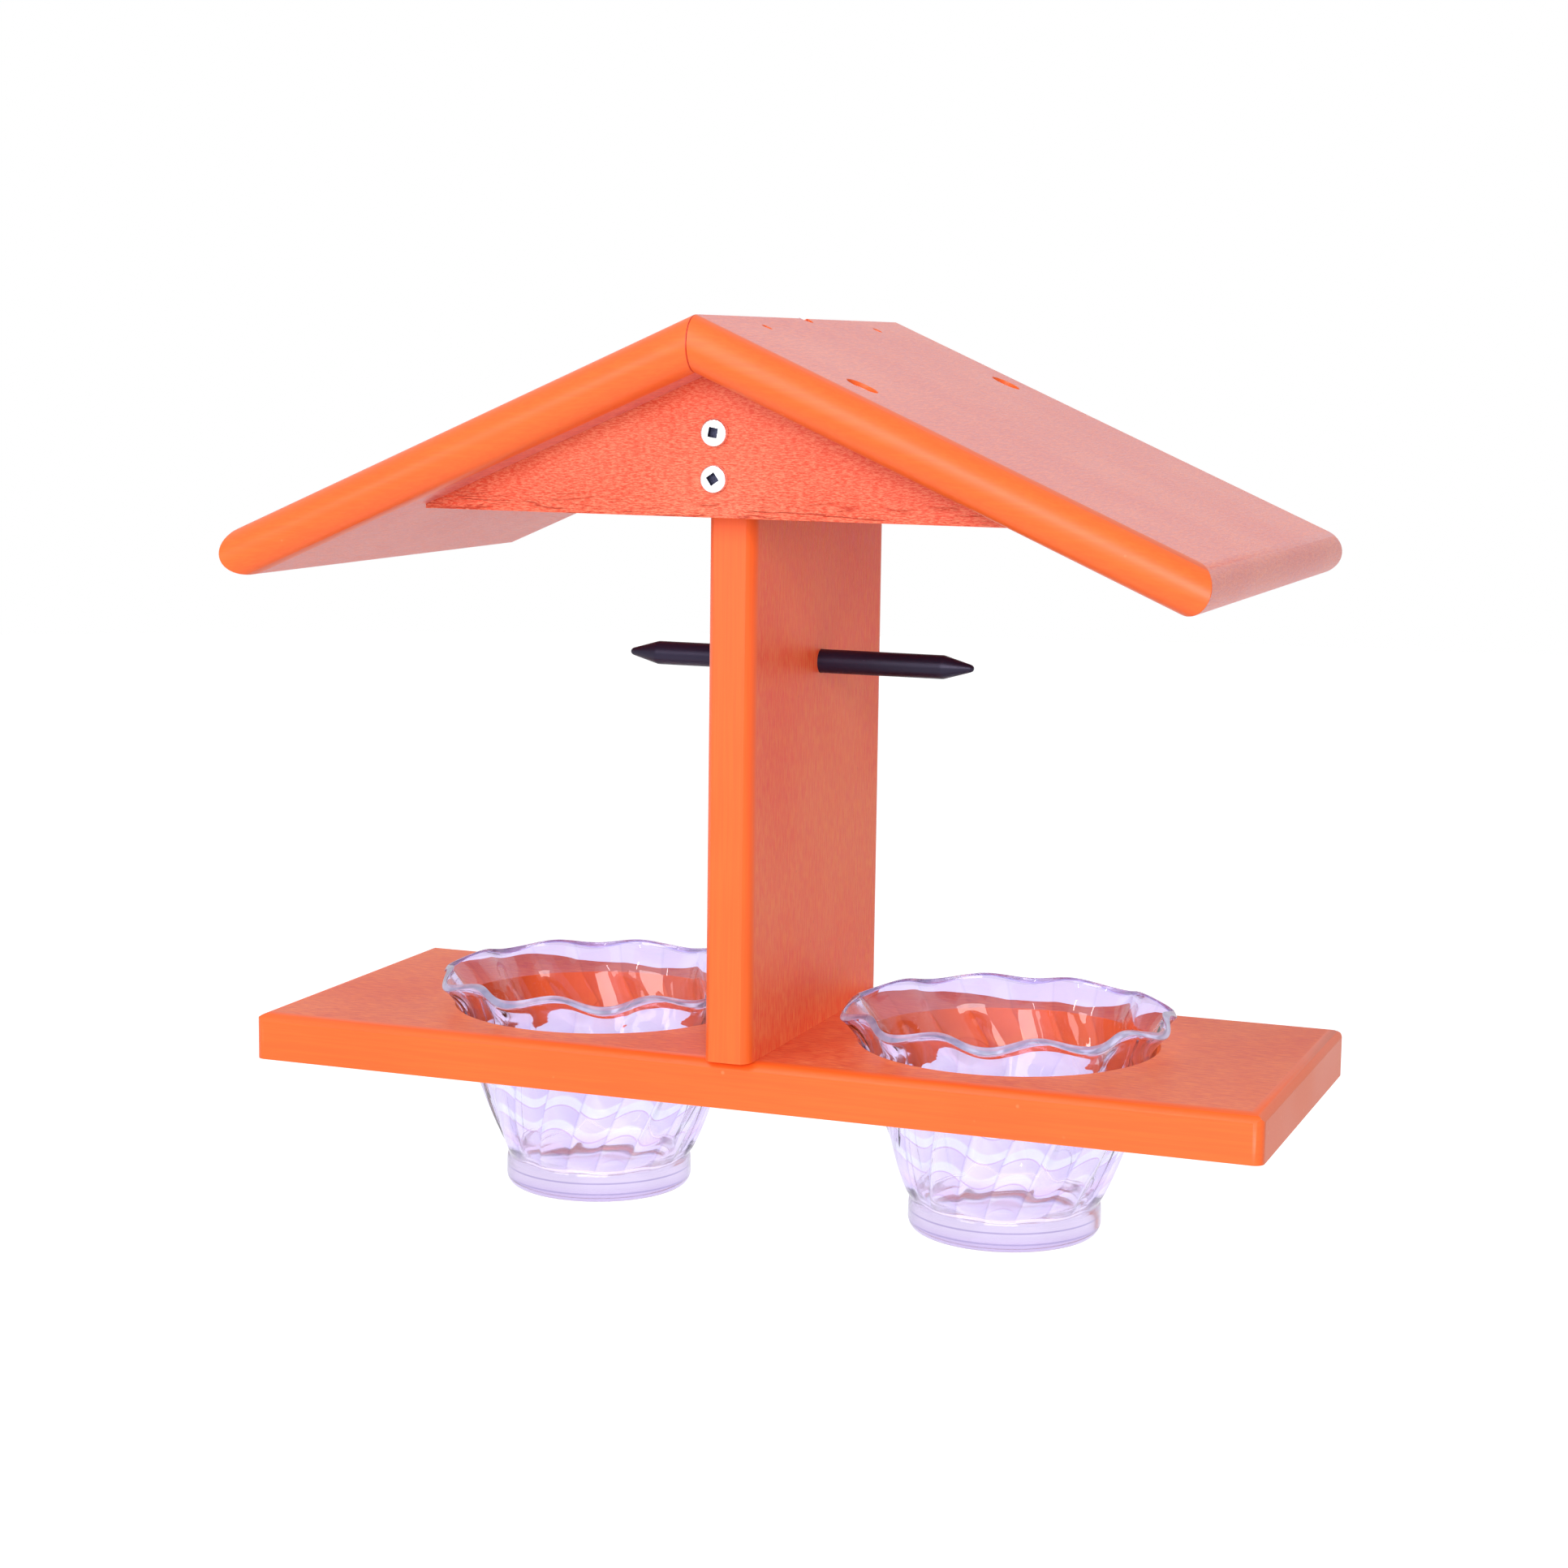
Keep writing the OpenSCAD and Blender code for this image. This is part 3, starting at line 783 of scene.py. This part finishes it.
@dataclass
class Boards:
    """The six boards."""

    seam_reach: float = 0.34 * MM
    tray_hole_r: float = 60.6 * MM

    def gable(self, node: str) -> Board:
        """Returns a gable, with coarser skin in darker tones of painted shade, and dark creases
        low down.
        """
        return Board(node, "gable_board", Vector((0, 1, 0)),
                     # The gable's deeper colours are painted shade on its front-lit face.
                     EmbossedBoard(f"{node}_face", Grain.ALONG_X, (0.70, 0.05, 0.012),
                                   (0.90, 0.27, 0.15), length=2.4 * MM, width=0.48 * MM,
                                   relief=0.14 * MM, crease=0.85),
                     MachinedBoard(f"{node}_edge", Grain.ALONG_X))

    def roof_panel(self, node: str, side: int) -> Board:
        """Returns a roof panel, with painted shade along its seam at the ridge.

        Args:
            node: Its node's name.
            side: 1 for the right panel and -1 for the left.

        Returns:
            The panel.
        """
        slope = Vector((side * cos(ROOF_PITCH), 0, -sin(ROOF_PITCH)))
        normal = Vector((side * sin(ROOF_PITCH), 0, cos(ROOF_PITCH)))
        return Board(node, "roof_board", normal,
                     EmbossedBoard(f"{node}_face", Grain.ALONG_Y, (0.76, 0.06, 0.02),
                                   (1.0, 0.29, 0.16), length=6 * MM, relief=0.45 * MM,
                                   roughness=0.32, sheen=0.24, haze=(1.0, 0.76, 0.92),
                                   ior=1.50),
                     MachinedBoard(f"{node}_edge", Grain.ALONG_X),
                     # The seam's deeper colours are painted shade in the mitre joint.
                     MachinedBoard(f"{node}_plank_seam", Grain.ALONG_Y,
                                   (0.78, 0.075, 0.012), (0.66, 0.055, 0.01)),
                     arris=0.35 * MM, clamped=False, factory_edge=slope, seam=self.seam_reach)

    def build(self, nodes: dict[str, Piece]) -> None:
        """Builds every board.

        Args:
            nodes: The construction's nodes by name.
        """
        tray = Board("tray", "tray_board", Vector((0, 0, 1)),
                     EmbossedBoard("tray_face", Grain.ALONG_X),
                     MachinedBoard("tray_edge", Grain.ALONG_X),
                     # The hole walls' deeper colours are painted shade, in place of the shadow of
                     # the cups.
                     MachinedBoard("tray_hole_shade", Grain.ALONG_Z, (0.70, 0.105, 0.013),
                                   (0.66, 0.085, 0.010)), hole_r=self.tray_hole_r)
        post = Board("post", "post_board", Vector((1, 0, 0)),
                     EmbossedBoard("post_face", Grain.ALONG_Z, (0.92, 0.06, 0.008),
                                   (1.0, 0.28, 0.10)),
                     MachinedBoard("post_edge", Grain.ALONG_Z))
        for board in (tray, post, self.gable("gable_front"), self.gable("gable_rear"),
                      self.roof_panel("roof_panel_left", -1),
                      self.roof_panel("roof_panel_right", 1)):
            board.build(nodes)


@dataclass(frozen=True)
class Ring:
    """One ring of a cup's surface, in millimetres above the bottom of the foot.

    Its dip is how deep the flutes are, its swing how far the ruffles go up and down, keen how
    sharp the flutes are from 0 to 1, and its shift turns it, in degrees.
    """

    height: float
    radius: float
    dip: float = 0.0
    swing: float = 0.0
    keen: float = 0.0
    shift: float = 0.0
    edge: bool = False


def share(value: float, low: float, high: float) -> float:
    """Returns how far a value is from one level to another, between 0 and 1."""
    return max(0.0, min(1.0, (value - low) / (high - low)))


@dataclass
class SwirlCup:
    """A clear cup with twisting flutes, a ruffled lip and a plain thick foot."""

    side: Side
    turn: float
    x: float = 89 * MM
    y: float = 6 * MM
    base: float = -339.05 * MM
    flutes: int = 10
    steps: int = 16
    foot_h: float = 14.0
    drop: float = 76.5
    lip: float = 11.6
    foot_r: float = 38.75
    seat_r: float = 60.0
    lip_r: float = 67.6
    wall: float = 2.6
    lip_wall: float = 1.4
    floor: float = 8.0
    twist: float = 26.0
    lip_twist: float = 4.7
    flute: float = 3.6
    inner_flute: float = 3.312
    inner_ruffle: float = 5.28
    inner_shift: float = 3.0

    @property
    def top(self) -> float:
        """Height of the lip's outer edge above the foot."""
        return self.drop + self.lip

    def crest(self, h: float) -> float:
        """Returns the outside radius at a flute's crest, in millimetres, at a height."""
        if h < self.drop:
            rise = share(h, self.foot_h, self.drop) ** 0.78
            return self.foot_r + (self.seat_r - self.foot_r) * rise
        return self.seat_r + (self.lip_r - self.seat_r) * ((h - self.drop) / self.lip) ** 1.35

    def twisted(self, h: float) -> float:
        """Returns how far the flutes have turned at a height, in degrees."""
        return (self.twist * share(h, self.foot_h, self.drop)
                + self.lip_twist * share(h, self.drop - self.lip, self.top))

    def outside(self) -> list[Ring]:
        """Lists the rings from under the foot up to the lip's outer edge."""
        foot = ((0.9, 8.0), (0.9, 33.0), (0.15, 34.0), (0.0, 34.9), (0.2, 36.3), (1.1, 37.6),
                (2.5, 38.4), (4.0, 38.75), (4.3, 38.75), (8.5, 38.7), (11.6, 38.6), (12.5, 38.2))
        rings = [Ring(h, r) for h, r in foot]
        rings.append(Ring(13.2, 38.0, 0.3, 0.0, 0.6))
        for h in (14.4, 16, 18.5, 22, 27, 33, 40, 47, 54, 60, 66, 71, 75, 78, 80.5, 82.8, 84.8,
                  86.6):
            rings.append(Ring(h, self.crest(h), self.flute * sqrt(share(h, 13.0, 22.0)),
                              2.1 * share(h, 66, self.top) ** 2,
                              1.0 - 0.9 * share(h, 72, self.top)))
        return rings

    def edge(self) -> list[Ring]:
        """Lists the rings of the lip's slanted edge face, with its two small roundings."""
        rings = []
        for k, proud in ((0.0, -0.12), (0.05, 0.1), (0.14, 0.2), (0.5, 0.25), (0.86, 0.2),
                         (0.95, 0.1), (1.0, -0.12)):
            rings.append(Ring(self.top - 0.3 + 2.3 * k + 0.5 * proud,
                              self.lip_r - self.lip_wall * k + proud, 3.8 + 1.8 * k,
                              2.2 - 0.8 * k, 0.1, edge=True))
        return rings

    def inside(self) -> list[Ring]:
        """Lists the rings from the lip's inner edge down to the floor."""
        rings = []
        for h in (89, 87, 84.6, 82, 79.4, 76.5, 73, 69, 63, 56, 49, 42, 35, 29, 24, 20, 17.3):
            thinner = (self.wall - self.lip_wall) * share(h, self.drop, self.top + 2.0) ** 2
            ruffle = share(h, 70, self.top + 2.0)
            rings.append(Ring(h, self.crest(min(h, self.top)) - self.wall + thinner,
                              self.inner_flute * sqrt(share(h, self.foot_h, 24.0))
                              + (self.inner_ruffle - self.inner_flute) * ruffle,
                              1.4 * ruffle ** 2, 0.9 * (1.0 - ruffle),
                              self.inner_shift * (1 - ruffle) * share(h, 24, 50)))
        rings += [Ring(h, r) for h, r in ((13.8, 34.8), (11.2, 32.8), (9.3, 29.8), (8.3, 25.0),
                                          (self.floor, 18.0), (self.floor, 8.0))]
        return rings

    def on_flutes(self, angle: float, ring: Ring) -> Vector:
        """Gives a ring's point its place on the flutes and the ruffled lip.

        Args:
            angle: The point's angle in degrees.
            ring: Its ring.

        Returns:
            The point in millimetres.
        """
        cycle = radians(self.flutes * angle)
        soft = (1 - cos(cycle)) / 2
        half = abs((self.flutes * angle / 180 + 1) % 2 - 1)
        keen = 1.4 * half ** 2 if half < 0.5 else 1 - 2.6 * (1 - half) ** 2
        r = ring.radius - ring.dip * (soft * (1 - ring.keen) + keen * ring.keen)
        a = radians(angle + self.twisted(ring.height) + ring.shift)
        return Vector((r * cos(a), r * sin(a),
                       ring.height - ring.swing * cos(cycle)))

    def flute_blank(self, piece: Piece, rings: Sequence[Ring]) -> set[int]:
        """Moves each point of the round blank to its place on the flutes.

        Args:
            piece: The blank.
            rings: Its rings.

        Returns:
            The numbers of the points on the lip's edge face.
        """
        on_edge = set()
        for vertex in piece.data.vertices:
            r = hypot(vertex.co.x, vertex.co.y) / MM
            h = vertex.co.z / MM
            if r < 1.0:
                continue
            ring = min(rings, key=lambda item: abs(item.height - h) + abs(item.radius - r))
            if ring.edge:
                on_edge.add(vertex.index)
            angle = degrees(atan2(vertex.co.y, vertex.co.x))
            vertex.co = self.on_flutes(angle, ring) * MM
        return on_edge

    def build(self, frosted: Material) -> None:
        """Builds the cup.

        Args:
            frosted: Material of the lip's edge face.
        """
        word = self.side.name.lower()
        rings = self.outside() + self.edge() + self.inside()
        piece = turned_blank(f"swirl_cup_{word}", [(ring.height, ring.radius) for ring in rings],
                             self.flutes * self.steps)
        on_edge = self.flute_blank(piece, rings)
        middle = Vector((self.side.value * self.x, self.y, self.base))
        piece.data.materials.append(ClearCup(f"clear_cup_{word}", middle, self.turn).material())
        piece.data.materials.append(frosted)
        for face in piece.data.polygons:
            face.material_index = 1 if on_edge.issuperset(face.vertices) else 0
        modify(piece, "SUBSURF", levels=1, render_levels=1)
        moved(piece, Matrix.Translation(middle)
              @ Matrix.Rotation(radians(self.turn), 4, "Z"))
        settle(piece, 60.0)
        piece.visible_shadow = False
        dress(piece, f"cup_{word}", f"{word}_cup")


@dataclass
class Screw:
    """A screw with a domed pan head, a square drive and a tapering shank, in millimetres."""

    length: float
    head_r: float
    head_h: float
    drive: float
    shank_r: float = 2.1
    tip_r: float = 0.3
    tip_length: float = 6.3

    def build(self, name: str, steel: Material, dark: Material) -> Piece:
        """Builds the screw upright, with its head's underside at zero.

        Args:
            name: The piece's name.
            steel: Material of the screw.
            dark: Material inside the drive, painted shade.

        Returns:
            The piece.
        """
        head = ((0.76, 1.0), (0.86, 0.97), (0.93, 0.91), (0.97, 0.8), (0.99, 0.6), (1.0, 0.3))
        section = [(-self.length, self.tip_r), (self.tip_length - self.length, self.shank_r),
                   (-0.4, self.shank_r), (0.0, self.shank_r + 0.3), (0.0, self.head_r - 0.25),
                   (0.15, self.head_r - 0.05), (0.35, self.head_r)]
        section += [(up * self.head_h, out * self.head_r) for up, out in head]
        piece = turned_blank(name, section, 48)
        self.cut_drive(piece)
        piece.data.materials.append(steel)
        piece.data.materials.append(dark)
        reach = (self.drive / 2 + 0.02) * MM
        # Faces inside the drive take the painted shade.
        for face in piece.data.polygons:
            inside = max(abs(face.center.x), abs(face.center.y)) < reach
            low = 0 < face.center.z < self.head_h * 0.93 * MM
            face.material_index = 1 if inside and low else 0
        return piece

    def cut_drive(self, piece: Piece) -> None:
        """Sinks the square drive into the head.

        Args:
            piece: The screw.
        """
        only()
        tall = 4.0
        middle = self.head_h - self.head_h * 0.8 + tall / 2
        bpy.ops.mesh.primitive_cube_add(size=1, location=(0, 0, middle * MM))
        tool = bpy.context.object
        tool.scale = (self.drive * MM, self.drive * MM, tall * MM)
        bpy.ops.object.transform_apply()
        modify(piece, "BOOLEAN", operation="DIFFERENCE", object=tool, solver="EXACT")
        bpy.data.objects.remove(tool)


@dataclass
class Fixings:
    """All the feeder's screws, with the places of their heads."""

    ridge: float = 20.75 * MM
    gable_x: float = 1.6 * MM
    gable_face: float = 95 * MM
    gable_upper: float = -21.8 * MM
    gable_step: float = 16.9 * MM
    roof_down: float = 61.6 * MM
    roof_end: float = 90 * MM
    roof_sink: float = 5 * MM
    trim_down: float = 9.7 * MM
    trim_ends: tuple[float, float] = (51 * MM, 63 * MM)
    trim_sink: float = 3 * MM
    tray_head: float = -278.55 * MM
    tray_step: float = 50 * MM
    kinds: dict[str, Screw] = field(default_factory=lambda: {
        "pan": Screw(41.0, 5.1, 3.0, 3.7),
        "roof": Screw(32.0, 5.1, 3.8, 3.7),
        "trim": Screw(31.0, 1.8, 1.8, 1.3, 1.2),
        "tray": Screw(46.0, 5.1, 2.7, 3.7),
    })

    def on_roof(self, side: int, down: float, y: float, sink: float) -> Matrix:
        """Returns the transform of a screw in the roof panel on one side of the ridge."""
        return (Matrix.Translation((0, y, self.ridge))
                @ Matrix.Rotation(side * ROOF_PITCH, 4, "Y")
                @ Matrix.Translation((side * down, 0, -sink)))

    def places(self) -> dict[str, tuple[str, Matrix]]:
        """Lists the kind and the transform of every screw, by its node."""
        found = {}
        for end, word in ((-1, "front"), (1, "rear")):
            for k, level in enumerate(("upper", "lower")):
                place = (Matrix.Translation((self.gable_x, end * self.gable_face,
                                             self.gable_upper - k * self.gable_step))
                         @ Matrix.Rotation(-end * pi / 2, 4, "X")
                         @ Matrix.Rotation(radians(45 * k - 10), 4, "Z"))
                found[f"gable_screw_{word}_{level}"] = ("pan", place)
            for side, hand, trim_end in zip((-1, 1), ("left", "right"), self.trim_ends):
                found[f"roof_screw_{hand}_{word}"] = ("roof", self.on_roof(
                    side, self.roof_down, end * self.roof_end, self.roof_sink))
                found[f"ridge_screw_{hand}_{word}"] = ("trim", self.on_roof(
                    side, self.trim_down, end * trim_end, self.trim_sink))
        for k, word in ((-1, "front"), (0, "middle"), (1, "rear")):
            place = (Matrix.Translation((0, k * self.tray_step, self.tray_head))
                     @ Matrix.Rotation(pi, 4, "X"))
            found[f"tray_screw_{word}"] = ("tray", place)
        return found

    def build(self) -> None:
        """Builds each kind of screw once and copies it to its places."""
        steel = ScrewMetal("screw_steel").material()
        # The near-black colours inside the drive are painted shade in its recess.
        dark = ScrewMetal("screw_drive_shade", (0.05, 0.05, 0.10), (0.02, 0.02, 0.05), 0.6,
                          0.39).material()
        patterns = {kind: screw.build(f"pattern_{kind}", steel, dark)
                    for kind, screw in self.kinds.items()}
        for node, (kind, place) in self.places().items():
            piece = copied(patterns[kind], f"{node}_piece")
            moved(piece, place)
            settle(piece, 30.0)
            dress(piece, node)
        for pattern in patterns.values():
            bpy.data.objects.remove(pattern)


@dataclass
class FruitPeg:
    """The black rod through the post, with a blunt point at each end."""

    z: float = -114.05 * MM
    radius: float = 4.75
    half: float = 73.0
    point: float = 12.0
    tip_r: float = 1.3
    end_r: float = 0.5

    def build(self, finish: Material) -> None:
        """Builds the peg.

        Args:
            finish: The peg's material.
        """
        shoulder = self.half - self.point
        upper = [(shoulder - 0.9, self.radius), (shoulder - 0.25, self.radius - 0.04),
                 (shoulder + 0.4, self.radius - 0.2), (self.half - 1.2, self.tip_r + 0.25),
                 (self.half - 0.5, self.tip_r - 0.1), (self.half - 0.12, self.tip_r - 0.55),
                 (self.half, self.end_r)]
        lower = [(-level, radius) for level, radius in reversed(upper)]
        piece = turned_blank("fruit_peg_rod", lower + [(0.0, self.radius)] + upper, 64)
        moved(piece, Matrix.Translation((0, 0, self.z)) @ Matrix.Rotation(pi / 2, 4, "Y"))
        settle(piece, 24.0)
        piece.data.materials.append(finish)
        dress(piece, "fruit_peg")


@dataclass
class Studio:
    """White surroundings, soft lamps and the camera."""

    camera_at: Vector = field(default_factory=lambda: Vector((0.42140, -1.13052, 0.00909)))
    yaw: float = radians(20.697)
    pitch: float = radians(-8.178)
    roll: float = radians(0.775)
    lens: float = 69.63
    aim: Vector = field(default_factory=lambda: Vector((0, 0, -0.13)))
    floor_z: float = -0.95
    floor_tones: tuple[Colour, Colour] = ((0.68, 0.68, 0.70), (0.72, 0.72, 0.73))
    floor_glow: float = 0.82
    ambient: float = 0.42

    def place_camera(self) -> None:
        """Places the camera that the photograph was taken with."""
        data = bpy.data.cameras.new("camera")
        data.sensor_width = 36.0
        data.lens = self.lens
        data.clip_start, data.clip_end = 0.01, 60.0
        camera = bpy.data.objects.new("camera", data)
        bpy.context.scene.collection.objects.link(camera)
        camera.matrix_world = (Matrix.Translation(self.camera_at)
                               @ Matrix.Rotation(self.yaw, 4, "Z")
                               @ Matrix.Rotation(pi / 2 + self.pitch, 4, "X")
                               @ Matrix.Rotation(self.roll, 4, "Z"))
        bpy.context.scene.camera = camera

    def light_world(self) -> None:
        """Makes the white surroundings, which light the feeder less than they show."""
        world = bpy.data.worlds.new("surroundings")
        world.use_nodes = True
        bpy.context.scene.world = world
        sheet = Sheet(world.node_tree)
        background = world.node_tree.nodes["Background"]
        background.inputs["Color"].default_value = (1.0, 1.0, 1.0, 1.0)
        sheet.feed(background.inputs["Strength"],
                   sheet.window(sheet.seen_directly(), 0, 1, self.ambient, 1))

    def lay_floor(self) -> None:
        """Lays the pale floor under the feeder."""
        only()
        bpy.ops.mesh.primitive_circle_add(vertices=96, radius=9.0, fill_type="NGON",
                                          location=(0, 0, self.floor_z))
        floor = bpy.context.object
        floor.name = "floor"
        sheet = Finish("pale_floor", Roughness=0.9, Specular_IOR_Level=0.0,
                       Emission_Color=(1.0, 1.0, 1.0, 1.0))
        tone = sheet.window(sheet.noise(sheet.place(), 3.0), 0.3, 0.7)
        sheet.coat(Base_Color=sheet.blend(tone, *self.floor_tones),
                   Emission_Strength=sheet.times(sheet.seen_directly(), self.floor_glow))
        floor.data.materials.append(sheet.material)

    def hang_lamp(self, name: str, place: Sequence[float], size: Sequence[float],
                  power: float) -> None:
        """Hangs a soft lamp that points at the feeder.

        Args:
            name: The lamp's name.
            place: Where it hangs.
            size: Its width and height.
            power: Its power in watts.
        """
        data = bpy.data.lights.new(name, "AREA")
        data.shape = "RECTANGLE"
        data.size, data.size_y = size
        data.energy = power
        lamp = bpy.data.objects.new(name, data)
        bpy.context.scene.collection.objects.link(lamp)
        lamp.location = Vector(place)
        lamp.rotation_mode = "QUATERNION"
        lamp.rotation_quaternion = (self.aim - lamp.location).to_track_quat("-Z", "Y")
        lamp.visible_transmission = False

    def build(self) -> None:
        """Sets up the whole studio."""
        scene = bpy.context.scene
        scene.view_settings.view_transform = "Standard"
        scene.cycles.max_bounces = 18
        scene.cycles.glossy_bounces = 12
        scene.cycles.transmission_bounces = 16
        self.place_camera()
        self.light_world()
        self.lay_floor()
        self.hang_lamp("front_lamp", (0.55, -2.15, 0.45), (1.6, 1.2), 40.5)
        self.hang_lamp("side_lamp", (-0.95, -2.0, 0.25), (0.7, 0.7), 6.0)
        self.hang_lamp("top_lamp", (-0.5, -0.7, 1.5), (0.22, 1.0), 4.0)
        self.hang_lamp("strip_lamp", (-0.35, -1.15, 0.85), (0.06, 0.7), 2.4)
        LOG.info("studio: camera %.2f mm, floor at %.2f m", self.lens, self.floor_z)


def main() -> None:
    """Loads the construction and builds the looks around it."""
    logging.basicConfig(level=logging.INFO, format="%(name)s: %(message)s")
    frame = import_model()
    only()
    Studio().build()
    Boards().build(frame["nodes"])
    frosted = FrostedEdge().material()
    SwirlCup(Side.LEFT, 12.6).build(frosted)
    SwirlCup(Side.RIGHT, -4.2).build(frosted)
    FruitPeg().build(BlackPeg().material())
    Fixings().build()
    only()


if __name__ == "__main__":
    main()
